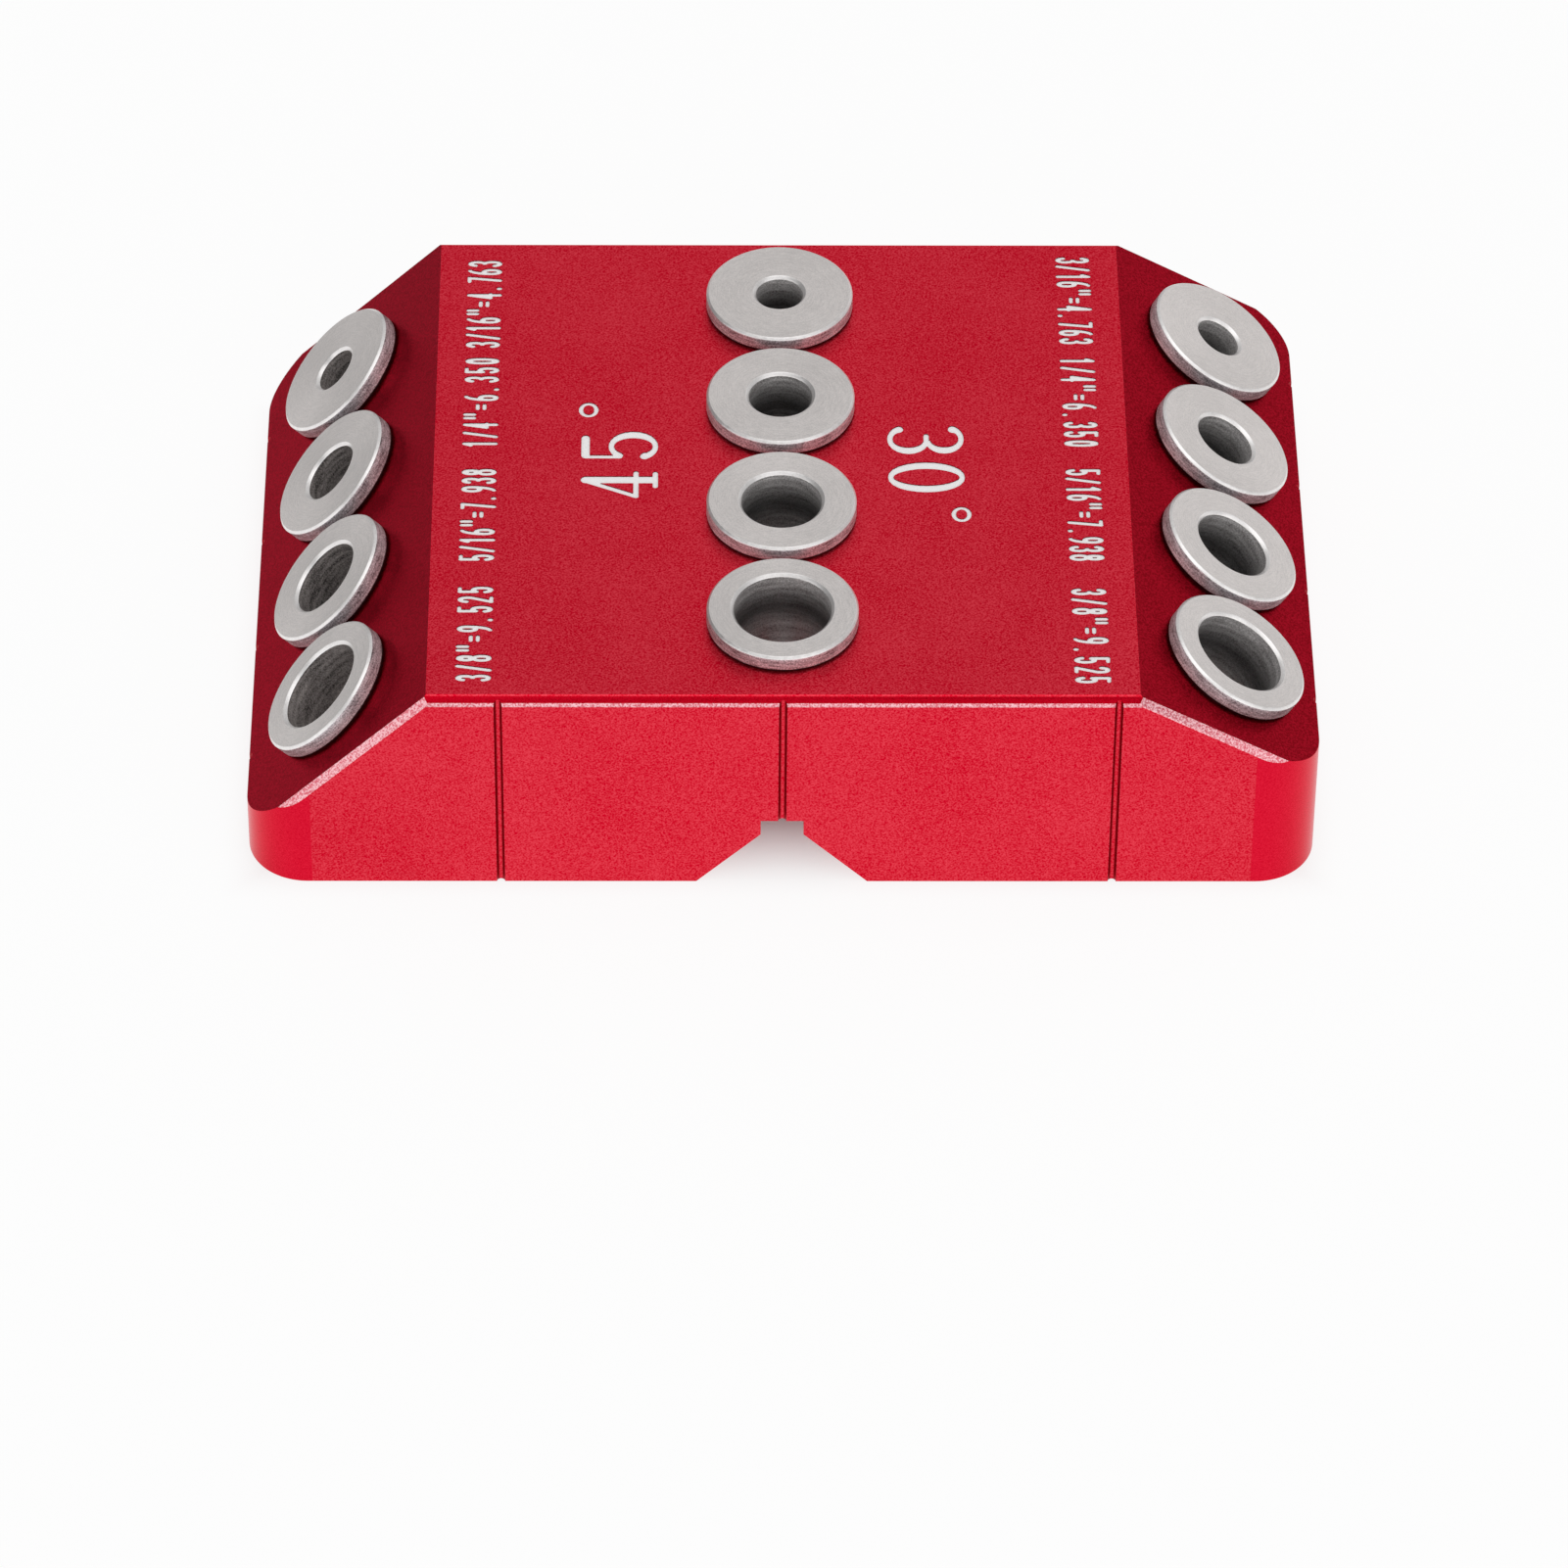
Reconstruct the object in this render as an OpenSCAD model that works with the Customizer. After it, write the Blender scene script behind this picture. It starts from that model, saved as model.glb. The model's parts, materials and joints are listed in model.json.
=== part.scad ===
// Drill guide: a block with a flat top and two slopes, and a row of flanged
// guide bushes pressed square into each of the three faces.
// Millimetres. The origin is at the middle of the underside, +X points to the
// shallow slope, -Y to the front face and +Z up.

/* [Block] */
// Depth of the block, from its front face to its back face
block_d = 70; // [64:1:90]
// Height of the block
block_h = 24; // [22:0.5:30]
// Width of the flat top, between the two slopes
top_w = 69; // [62:1:90]
// Width of each slope, measured level
slope_run = 18; // [17:0.5:20]
// Angle of the left slope below level
left_angle = 45; // [40:1:48]
// Angle of the right slope below level
right_angle = 30; // [25:1:34]
// Radius of the four upright corners
corner_r = 6; // [3:0.5:8]
// Bevel along the front and back edges of the top and the slopes
edge_bevel = 0.8; // [0.4:0.1:1.2]

/* [Rows of bushes] */
// Front face to the first flange
front_margin = 4.0875; // [2:0.0125:8]
// Last flange to the back face
back_margin = 3.0875; // [2:0.0125:8]
// Gap between neighbouring flanges in a row
flange_gap = 1.175; // [0.6:0.025:1.8]
// Top edge of the left slope to the flanges on it
left_margin = 6.2; // [3:0.1:8]
// Top edge of the right slope to the flanges on it
right_margin = 3.5; // [2:0.1:5]

/* [Bushes] */
// Bore of the 3/8 inch bushes
bore_3_8 = 9.525; // [8.6:0.025:10.3]
// Bore of the 5/16 inch bushes
bore_5_16 = 7.9375; // [7.2:0.0125:8.6]
// Bore of the 1/4 inch bushes
bore_1_4 = 6.35; // [5.7:0.05:7]
// Bore of the 3/16 inch bushes
bore_3_16 = 4.7625; // [4.3:0.0125:5.3]
// Wall of the 3/8 inch bushes below the flange. All four sizes share one outside diameter
bush_wall = 1.25; // [0.9:0.05:1.4]
// Thickness of a flange
flange_t = 1.8; // [1.2:0.1:3]
// Chamfer around the rim of a flange
rim_chamfer = 0.3; // [0.1:0.05:0.6]
// Chamfer at the mouth of a bore
lip_chamfer = 0.35; // [0.1:0.05:0.6]
// Lead-in chamfer at the foot of a bush
foot_chamfer = 0.5; // [0.2:0.1:0.8]
// Least height of a bush's foot above the open underside
foot_gap = 0.95; // [0.5:0.05:3]
// Gap between a bush and its seat, all round
seat_gap = 0.02; // [0.01:0.01:0.05]

/* [V-groove] */
// Width of the V-groove at the underside
vee_w = 16.8; // [12:0.2:24]
// Slope of its two flanks
vee_flank = 45; // [40:1:50]
// Width of the relief slot at the top of the V
slot_w = 4.2; // [3:0.1:6]
// Height of the relief slot above the V
slot_h = 1.8; // [1:0.1:3]

/* [Marks] */
// Width of the round-bottomed scribe marks
mark_w = 0.8; // [0.5:0.1:1.2]
// Depth of the marks on the two sides, beside each row
side_mark_depth = 0.3; // [0.2:0.05:0.4]
// Depth under the block at which the left bores cross their mark's line
left_aim = 2.2; // [0:0.1:4]
// Depth under the block at which the right bores cross their mark's line
right_aim = 1.4; // [0:0.1:4]

/* [Hidden] */
$fn = 96;

anodised_red = [0.78, 0.11, 0.18];
steel = [0.74, 0.73, 0.72];

// How far each cut runs past the surface it opens
overrun = 1;

// Rows are counted from the front, where the largest bores are
bores = [bore_3_8, bore_5_16, bore_1_4, bore_3_16];
rows = [0 : len(bores) - 1];
front_row = 0;
second_row = 1;
third_row = 2;
back_row = 3;

// The flanges and the gaps between them fill a row from margin to margin
row_pitch = (block_d - front_margin - back_margin + flange_gap) / len(bores);
flange_d = row_pitch - flange_gap;
body_d = bore_3_8 + 2 * bush_wall;
block_w = top_w + 2 * slope_run;
reach = 2 * block_w + overrun;

function row_y(row) = front_margin + flange_d / 2 + row * row_pitch - block_d / 2;

// Each face's seat: where the bore axes cross the face, seen from the front
left_along = left_margin + flange_d / 2;
right_along = right_margin + flange_d / 2;
top_seat = [0, block_h];
left_seat = [-top_w / 2 - left_along * cos(left_angle), block_h - left_along * sin(left_angle)];
right_seat = [top_w / 2 + right_along * cos(right_angle), block_h - right_along * sin(right_angle)];

// The V-groove and its slot
vee_h = (vee_w - slot_w) / 2 * tan(vee_flank);
slot_top = vee_h + slot_h;
vee_spread = overrun / tan(vee_flank);

// One length of bush serves all three faces, so the most crowded face sets it
function foot_room(seat_z, angle, floor_z) =
    (seat_z - floor_z - foot_gap - body_d / 2 * sin(angle)) / cos(angle);
body_len = min(
    foot_room(block_h, 0, slot_top),
    foot_room(left_seat.y, left_angle, 0),
    foot_room(right_seat.y, right_angle, 0)
);

// Marks on the front and back faces, below the line that each row aims along
left_mark_x = left_seat.x + (left_seat.y + left_aim) * tan(left_angle);
right_mark_x = right_seat.x - (right_seat.y + right_aim) * tan(right_angle);

// Carries its children to a seat, with their +Z along the bore and out of the face
module at_seat(seat, tilt, row) {
    translate([seat.x, row_y(row), seat.y]) rotate([0, tilt, 0]) children();
}

// Block outline seen from above
module footprint() {
    square([block_w - 2 * corner_r, block_d], center = true);
    square([block_w, block_d - 2 * corner_r], center = true);
    for (side = [-1, 1], end = [-1, 1])
        translate([side * (block_w / 2 - corner_r), end * (block_d / 2 - corner_r)]) circle(r = corner_r);
}

// All that lies below one upper face, with the bevel along its front and back edges
module under_face(edge_x, tilt) {
    translate([edge_x, 0, block_h]) rotate([0, tilt, 0]) rotate([90, 0, 90])
        linear_extrude(height = reach, center = true)
            polygon([
                [-block_d / 2, -reach],
                [block_d / 2, -reach],
                [block_d / 2, -edge_bevel],
                [block_d / 2 - edge_bevel, 0],
                [edge_bevel - block_d / 2, 0],
                [-block_d / 2, -edge_bevel],
            ]);
}

// Hole that a bush is pressed into, right through the block
module seat_hole() {
    cylinder(d = body_d + 2 * seat_gap, h = reach, center = true);
}

// V-groove and relief slot along the underside
module vee_cut() {
    rotate([90, 0, 0]) linear_extrude(height = block_d + 2 * overrun, center = true)
        polygon([
            [-vee_w / 2 - vee_spread, -overrun],
            [vee_w / 2 + vee_spread, -overrun],
            [slot_w / 2, vee_h],
            [slot_w / 2, slot_top],
            [-slot_w / 2, slot_top],
            [-slot_w / 2, vee_h],
        ]);
}

// Upright scribe mark as a ball-nosed cutter leaves it
module mark_cut() {
    translate([0, 0, -overrun]) cylinder(d = mark_w, h = block_h + 2 * overrun);
}

module guide_block() {
    color(anodised_red) difference() {
        intersection() {
            linear_extrude(height = block_h) footprint();
            under_face(0, 0);
            under_face(-top_w / 2, -left_angle);
            under_face(top_w / 2, right_angle);
        }
        vee_cut();
        for (row = rows) {
            at_seat(top_seat, 0, row) seat_hole();
            at_seat(left_seat, -left_angle, row) seat_hole();
            at_seat(right_seat, right_angle, row) seat_hole();
        }
        for (end = [-1, 1], x = [left_mark_x, 0, right_mark_x])
            translate([x, end * block_d / 2, 0]) mark_cut();
        for (side = [-1, 1], row = rows)
            translate([side * (block_w / 2 + mark_w / 2 - side_mark_depth), row_y(row), 0]) mark_cut();
    }
}

// Flanged guide bush, with the underside of its flange at zero
module bush(bore_d) {
    color(steel) rotate_extrude()
        polygon([
            [bore_d / 2, -body_len],
            [body_d / 2 - foot_chamfer, -body_len],
            [body_d / 2, foot_chamfer - body_len],
            [body_d / 2, 0],
            [flange_d / 2, 0],
            [flange_d / 2, flange_t - rim_chamfer],
            [flange_d / 2 - rim_chamfer, flange_t],
            [bore_d / 2 + lip_chamfer, flange_t],
            [bore_d / 2, flange_t - lip_chamfer],
        ]);
}

module straight_bush(row) {
    at_seat(top_seat, 0, row) bush(bores[row]);
}

module left_bush(row) {
    at_seat(left_seat, -left_angle, row) bush(bores[row]);
}

module right_bush(row) {
    at_seat(right_seat, right_angle, row) bush(bores[row]);
}

guide_block();
straight_bush(front_row);  // bushing_straight_3_8in
straight_bush(second_row);  // bushing_straight_5_16in
straight_bush(third_row);  // bushing_straight_1_4in
straight_bush(back_row);  // bushing_straight_3_16in
left_bush(front_row);  // bushing_45deg_3_8in
left_bush(second_row);  // bushing_45deg_5_16in
left_bush(third_row);  // bushing_45deg_1_4in
left_bush(back_row);  // bushing_45deg_3_16in
right_bush(front_row);  // bushing_30deg_3_8in
right_bush(second_row);  // bushing_30deg_5_16in
right_bush(third_row);  // bushing_30deg_1_4in
right_bush(back_row);  // bushing_30deg_3_16in
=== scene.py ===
import json
import math

import bmesh
import bpy
from mathutils import Matrix, Vector
from mathutils.geometry import delaunay_2d_cdt


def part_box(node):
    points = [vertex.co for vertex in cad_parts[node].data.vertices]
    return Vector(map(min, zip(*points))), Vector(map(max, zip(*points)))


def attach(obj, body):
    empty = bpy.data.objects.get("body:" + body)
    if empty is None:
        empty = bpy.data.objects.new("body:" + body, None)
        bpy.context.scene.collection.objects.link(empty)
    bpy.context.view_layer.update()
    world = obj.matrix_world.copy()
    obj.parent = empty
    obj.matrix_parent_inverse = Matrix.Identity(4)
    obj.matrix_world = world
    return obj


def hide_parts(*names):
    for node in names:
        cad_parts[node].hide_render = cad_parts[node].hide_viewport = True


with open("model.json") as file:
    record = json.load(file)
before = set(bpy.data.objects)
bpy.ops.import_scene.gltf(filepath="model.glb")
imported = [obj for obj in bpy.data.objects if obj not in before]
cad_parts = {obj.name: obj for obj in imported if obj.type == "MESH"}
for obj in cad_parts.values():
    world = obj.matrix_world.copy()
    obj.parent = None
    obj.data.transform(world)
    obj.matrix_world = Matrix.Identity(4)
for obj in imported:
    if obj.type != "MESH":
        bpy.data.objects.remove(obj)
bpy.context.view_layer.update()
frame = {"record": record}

# Guide block
# One billet of aluminium, milled square with eased upright corners, a 45 degree slope on
# the left and a 30 degree slope on the right. It is blasted and then anodised red.
# Its slopes and top bevel carry a darker red of painted shade, and the slope bevels and the top bevel's
# lower facet a pale pink painted highlight.
MM = 0.001
UP = Vector((0, 0, 1))
block_low, block_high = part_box("guide_block")
block_width = block_high.x - block_low.x
block_depth = block_high.y - block_low.y
block_height = block_high.z - block_low.z
corner_radius = 6 * MM
corner_steps = 24
corner_run_on = 0.45 * MM
edge_setback = 0.8 * MM
edge_drop = 0.66 * MM
slope_bevel = 0.64 * MM
highlight_facet_width = 0.42 * MM
highlight_facet_lean = math.radians(24)
glint_width = 0.28 * MM
glint_lean = math.radians(63)
eased_width = 0.14 * MM
eased_steps = 2
eased_turn = math.radians(26)
weld_reach = 0.002 * MM

# The bores' mounts give each face: a point on it, where an axis crosses it, and its square
mounts = {mount["name"]: mount for mount in frame["record"]["mounts"]}
seat = {name: Vector(mount["pos_m"]) for name, mount in mounts.items()}
square = {name: Vector(mount["axis"]) for name, mount in mounts.items()}
TOP, LEFT, RIGHT = "bore_straight_3_8in", "bore_45deg_3_8in", "bore_30deg_3_8in"

# Of these finishes, the slope and bevel ones are darker reds of painted shade, and the highlight one is
# a pale pink painted highlight.
BODY_FINISH, SHADED_SLOPE_FINISH, MILLED_FINISH, PAINTED_HIGHLIGHT_FINISH, SHADED_BEVEL_FINISH = range(5)


def rounded_rectangle(width, depth, radius, steps):
    """The block's outline seen from above, anticlockwise, with a point just past each round corner."""
    outline = []
    corners = ((1, 1, 0), (-1, 1, 90), (-1, -1, 180), (1, -1, 270))
    for side, end, start in corners:
        centre = Vector((side * (width / 2 - radius), end * (depth / 2 - radius), 0))
        round_corner = []
        for step in range(steps + 1):
            angle = math.radians(start + 90 * step / steps)
            round_corner.append(centre + radius * Vector((math.cos(angle), math.sin(angle), 0)))
        run_on = corner_run_on * Vector((side, 0, 0))
        if side == end:
            round_corner.append(round_corner[-1] - run_on)
        else:
            round_corner.insert(0, round_corner[0] - run_on)
        outline += round_corner
    return outline


def saw_billet(outline, height):
    """An upright prism with that outline, on the ground. Its round corners are left as milled."""
    billet = bmesh.new()
    foot = billet.faces.new([billet.verts.new(point) for point in outline])
    raised = bmesh.ops.extrude_face_region(billet, geom=[foot])["geom"]
    lifted = [part for part in raised if isinstance(part, bmesh.types.BMVert)]
    bmesh.ops.translate(billet, verts=lifted, vec=height * UP)
    bmesh.ops.recalc_face_normals(billet, faces=billet.faces)
    widest_corner_step = 1.1 * corner_run_on
    for side in billet.faces:
        upright = abs(side.normal.z) < 0.5
        if upright and side.calc_area() / height < widest_corner_step:
            side.material_index = MILLED_FINISH
    return billet


def mill_flat(billet, point, facing, finish):
    """Cuts away all that stands proud of a plane, and leaves one flat face there."""
    everything = billet.verts[:] + billet.edges[:] + billet.faces[:]
    cut = bmesh.ops.bisect_plane(
        billet, geom=everything, plane_co=point, plane_no=facing, clear_outer=True
    )
    rim = [part for part in cut["geom_cut"] if isinstance(part, bmesh.types.BMEdge)]
    for face in bmesh.ops.edgeloop_fill(billet, edges=rim)["faces"]:
        face.material_index = finish
    bmesh.ops.remove_doubles(billet, verts=billet.verts, dist=weld_reach)


billet = saw_billet(
    rounded_rectangle(block_width, block_depth, corner_radius, corner_steps), block_height
)
for slope in (LEFT, RIGHT):
    mill_flat(billet, seat[slope], square[slope], SHADED_SLOPE_FINISH)

# At each end the slopes are bevelled, then the top, whose bevel is broken along both its edges. The
# slope bevels and the top bevel's lower facet are coloured pale pink, a painted highlight.
bevel_lean = math.atan2(edge_setback, edge_drop)
for end in (-1, 1):
    outward = Vector((0, end, 0))
    for slope in (LEFT, RIGHT):
        start = Vector((seat[slope].x, end * (block_depth / 2 - slope_bevel), seat[slope].z))
        mill_flat(billet, start, square[slope] + outward, PAINTED_HIGHLIGHT_FINISH)
    top_arris = Vector((0, end * (block_depth / 2 - edge_setback), block_height))
    end_arris = Vector((0, end * block_depth / 2, block_height - edge_drop))
    mill_flat(billet, top_arris, edge_drop * outward + edge_setback * UP, SHADED_BEVEL_FINISH)
    breaks = (
        (top_arris, glint_lean, glint_width, BODY_FINISH),
        (end_arris, highlight_facet_lean, highlight_facet_width, PAINTED_HIGHLIGHT_FINISH),
    )
    for arris, lean, width, finish in breaks:
        facing = math.cos(lean) * outward + math.sin(lean) * UP
        inset = width * math.sin(abs(bevel_lean - lean)) / 2
        mill_flat(billet, arris - inset * facing, facing, finish)
bmesh.ops.recalc_face_normals(billet, faces=billet.faces)


def wire(tree, kind, inputs=None, **settings):
    """Adds a node to a tree. An input that is a socket is linked, and any other is set."""
    added = tree.nodes.new(kind)
    for name, value in settings.items():
        setattr(added, name, value)
    for name, value in (inputs or {}).items():
        if isinstance(value, bpy.types.NodeSocket):
            tree.links.new(value, added.inputs[name])
        else:
            added.inputs[name].default_value = value
    return added


def reckon(tree, operation, *values):
    """A sum on one or more numbers or sockets."""
    return wire(tree, "ShaderNodeMath", dict(enumerate(values)), operation=operation).outputs[0]


def tint(tree, share, dark, light):
    """A colour between dark and light."""
    inputs = {"Factor": share, 6: (*dark, 1), 7: (*light, 1)}
    return wire(tree, "ShaderNodeMix", inputs, data_type="RGBA").outputs[2]


def new_group(name, kind, inputs, outputs):
    """A node group with named sockets, its input node and its output node."""
    tree = bpy.data.node_groups.new(name, kind)
    for label, socket in inputs.items():
        tree.interface.new_socket(label, in_out="INPUT", socket_type=socket)
    for label, socket in outputs.items():
        tree.interface.new_socket(label, in_out="OUTPUT", socket_type=socket)
    return tree, tree.nodes.new("NodeGroupInput").outputs, tree.nodes.new("NodeGroupOutput")


def blasted_grain_group():
    """Fine speckle that blasting leaves in a metal: how light each spot is, and its height."""
    askew_axis = (0.5, 0.7, 0.3)
    askew_angle = 0.6
    clouds_per_metre = 90.0
    inputs = {
        "Coordinates": "NodeSocketVector", "Grain": "NodeSocketFloat",
        "Contrast": "NodeSocketFloat", "Clouding": "NodeSocketFloat",
    }
    outputs = {"Tone": "NodeSocketFloat", "Height": "NodeSocketFloat"}
    tree, given, result = new_group("blasted grain", "ShaderNodeTree", inputs, outputs)
    pitch = reckon(tree, "DIVIDE", 1.0, given["Grain"])
    # Turned, as the noise fades wherever a face lies along its own grid
    askew = wire(tree, "ShaderNodeVectorRotate", {
        "Vector": given["Coordinates"], "Axis": askew_axis, "Angle": askew_angle,
    }).outputs[0]
    fine = wire(tree, "ShaderNodeTexNoise", {"Vector": askew, "Scale": pitch, "Detail": 2.0})
    broad = wire(tree, "ShaderNodeTexNoise", {
        "Vector": given["Coordinates"], "Scale": clouds_per_metre, "Detail": 3.0,
    })
    cloud = reckon(tree, "MULTIPLY", reckon(tree, "SUBTRACT", broad.outputs[0], 0.5), given["Clouding"])
    centred = reckon(tree, "SUBTRACT", fine.outputs[0], 0.5)
    speck = reckon(tree, "MULTIPLY_ADD", centred, given["Contrast"], 0.5)
    clamped = wire(tree, "ShaderNodeClamp", {"Value": reckon(tree, "ADD", speck, cloud)})
    tree.links.new(clamped.outputs[0], result.inputs["Tone"])
    tree.links.new(fine.outputs[0], result.inputs["Height"])
    return tree


blasted_grain = blasted_grain_group()
relief_depth = 0.02 * MM
relief_strength = 0.3
grain_shine = 0.08


def metal(
    name, dark, light, grain, roughness, contrast=3.0, clouding=0.5, grazing=(1, 1, 1), metallic=1.0
):
    """A blasted metal whose colour and shine change from grain to grain."""
    made = bpy.data.materials.new(name)
    made.use_nodes = True
    tree = made.node_tree
    tree.nodes.clear()
    place = wire(tree, "ShaderNodeTexCoord").outputs["Object"]
    speckle = wire(
        tree, "ShaderNodeGroup",
        {"Coordinates": place, "Grain": grain, "Contrast": contrast, "Clouding": clouding},
        node_tree=blasted_grain,
    )
    relief = wire(
        tree, "ShaderNodeBump",
        {"Height": speckle.outputs["Height"], "Strength": relief_strength, "Distance": relief_depth},
    )
    tone = speckle.outputs["Tone"]
    skin = wire(tree, "ShaderNodeBsdfPrincipled", {
        "Base Color": tint(tree, tone, dark, light),
        "Roughness": reckon(tree, "MULTIPLY_ADD", tone, grain_shine, roughness - grain_shine / 2),
        "Metallic": metallic, "Specular Tint": (*grazing, 1), "Normal": relief.outputs[0],
    })
    wire(tree, "ShaderNodeOutputMaterial", {"Surface": skin.outputs[0]})
    return made


body_grain = 0.18 * MM
slope_grain = 0.2 * MM
milled_grain = 0.15 * MM
red_body = metal(
    "red_anodised", dark=(0.65, 0, 0.018), light=(0.85, 0.058, 0.09), grain=body_grain,
    roughness=0.4, contrast=3.6, grazing=(1, 0.5, 0.5),
)
# The slopes' darker red is painted shade; their grain and roughness are their own.
shaded_slope_red = metal(
    "shaded_slope_red", dark=(0.24, 0.002, 0.006), light=(0.44, 0.006, 0.02), grain=slope_grain,
    roughness=0.34, contrast=5.5, grazing=(1, 0.55, 0.6),
)
red_milled = metal(
    "red_milled", dark=(0.66, 0.002, 0.022), light=(0.8, 0.012, 0.042), grain=milled_grain,
    roughness=0.28, grazing=(1, 0.9, 0.9),
)
# A darker red for the side walls of each scribed groove, painted shade.
red_shaded = metal(
    "red_groove_wall_painted_shade", dark=(0.3, 0, 0.006), light=(0.4, 0.003, 0.012), grain=milled_grain,
    roughness=0.4,
)
# A pale pink painted highlight for the slope bevels and the top bevel's lower facet.
red_painted_highlight = metal(
    "edge_painted_highlight", dark=(0.66, 0.14, 0.18), light=(0.95, 0.56, 0.6), grain=body_grain,
    roughness=0.35, contrast=5.0,
)
# The top bevel's darker red is painted shade.
shaded_bevel_red = metal(
    "shaded_bevel_red", dark=(0.49, 0, 0.008), light=(0.59, 0.003, 0.018), grain=milled_grain,
    roughness=0.28, grazing=(1, 0.9, 0.9),
)
# In the order in which the block's finishes are numbered
block_finishes = [red_body, shaded_slope_red, red_milled, red_painted_highlight, shaded_bevel_red]

# V-groove, seats and scribe marks in the block
# A V-groove with a relief slot runs along the underside, to sit on round stock. A seat is
# bored for each bush, and a ball-nosed cutter scribes a line up the block at each row.
overrun = 1 * MM
vee_width = 16.8 * MM
slot_width = 4.2 * MM
slot_height = 1.8 * MM
seat_diameter = 12.065 * MM
seat_facets = 96
drill_headroom = 3 * overrun
mark_width = 0.8 * MM
mark_facets = 32
side_mark_depth = 0.3 * MM
mark_aim = {LEFT: 2.2 * MM, RIGHT: 1.4 * MM}
ROWS = ("3_8in", "5_16in", "1_4in", "3_16in")
FACES = ("straight", "45deg", "30deg")

# A cutter's first finish, number 0, is for the floor of its cut, and this one for the walls
CUT_WALL = 1


def solid(name, shape, finishes):
    """A mesh object from a bmesh, with its materials."""
    mesh = bpy.data.meshes.new(name)
    shape.to_mesh(mesh)
    shape.free()
    for finish in finishes:
        mesh.materials.append(finish)
    made = bpy.data.objects.new(name, mesh)
    bpy.context.scene.collection.objects.link(made)
    return made


def vee_cutter():
    """The V, with the relief slot above it, run out past both ends of the block."""
    rise = (vee_width - slot_width) / 2
    top = rise + slot_height
    half = [(vee_width / 2 + overrun, -overrun), (slot_width / 2, rise), (slot_width / 2, top)]
    section = half + [(-x, z) for x, z in reversed(half)]
    cutter = bmesh.new()
    start = [cutter.verts.new((x, -block_depth / 2 - overrun, z)) for x, z in section]
    face = cutter.faces.new(start)
    run = bmesh.ops.extrude_face_region(cutter, geom=[face])["geom"]
    moved = [part for part in run if isinstance(part, bmesh.types.BMVert)]
    bmesh.ops.translate(cutter, verts=moved, vec=(0, block_depth + 2 * overrun, 0))
    bmesh.ops.recalc_face_normals(cutter, faces=cutter.faces)
    return cutter


def sink_drill(cutter, foot, tip, diameter, segments):
    """Adds a straight drill between two points."""
    run = tip - foot
    turn = run.to_track_quat("Z", "Y").to_matrix().to_4x4()
    turn.translation = (foot + tip) / 2
    bmesh.ops.create_cone(
        cutter, cap_ends=True, segments=segments, radius1=diameter / 2, radius2=diameter / 2,
        depth=run.length, matrix=turn,
    )


def seat_drills():
    """One drill for each bush, from above its face down through the underside."""
    cutter = bmesh.new()
    for name, axis in square.items():
        if not name.startswith("bore"):
            continue
        way_down = (seat[name].z + seat_diameter * abs(axis.x) / 2 + overrun) / axis.z
        foot = seat[name] - way_down * axis
        tip = seat[name] + drill_headroom * axis
        sink_drill(cutter, foot, tip, seat_diameter, seat_facets)
    return cutter


def mark_cutters():
    """A cutter for each upright mark: three at each end, and one by each row on each side."""
    end_share = 0.45
    steepness = 0.45
    aimed = {name: seat[name].z + mark_aim[name] for name in (LEFT, RIGHT)}
    across = [seat[name].x - aimed[name] * square[name].x / square[name].z for name in (LEFT, RIGHT)]
    places = [(x, end * block_depth / 2) for end in (-1, 1) for x in (*across, 0)]
    beside = block_width / 2 + mark_width / 2 - side_mark_depth
    places += [(side * beside, seat["bore_straight_" + row].y) for side in (-1, 1) for row in ROWS]
    cutter = bmesh.new()
    for x, y in places:
        foot = Vector((x, y, -overrun))
        tip = Vector((x, y, block_height + overrun))
        sink_drill(cutter, foot, tip, mark_width, mark_facets)
    # The side walls of each groove take the second finish, a darker red of painted shade.
    for wall in cutter.faces:
        at_an_end = abs(wall.calc_center_median().y) > end_share * block_depth
        sideways = wall.normal.x if at_an_end else wall.normal.y
        if abs(sideways) > steepness:
            wall.material_index = CUT_WALL
    return cutter


# Numbers engraved in the top
# A laser burns them through the anodising to bare, matt aluminium. The small ones give the
# bore sizes in inches and millimetres beside each row, and the large ones each slope's angle.
engraved_depth = 0.1 * MM
arc_step = 15
end_steps = 16
weld_distance = 0.000001 * MM
join_gap = 0.001 * MM
seam_gap = 0.0005 * MM


def line(x0, y0, x1, y1, weight=None):
    """A straight stroke. Its weight runs from a thin stroke's 0 to a thick one's 1."""
    return [(x0, y0), (x1, y1)], weight


def arc(x, y, wide, high, start, end):
    """A stroke round part of an oval, from one angle to another, in degrees."""
    steps = max(2, round(abs(end - start) / arc_step))
    angles = [math.radians(start + (end - start) * step / steps) for step in range(steps + 1)]
    return [(x + wide * math.cos(angle), y + high * math.sin(angle)) for angle in angles], None


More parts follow.
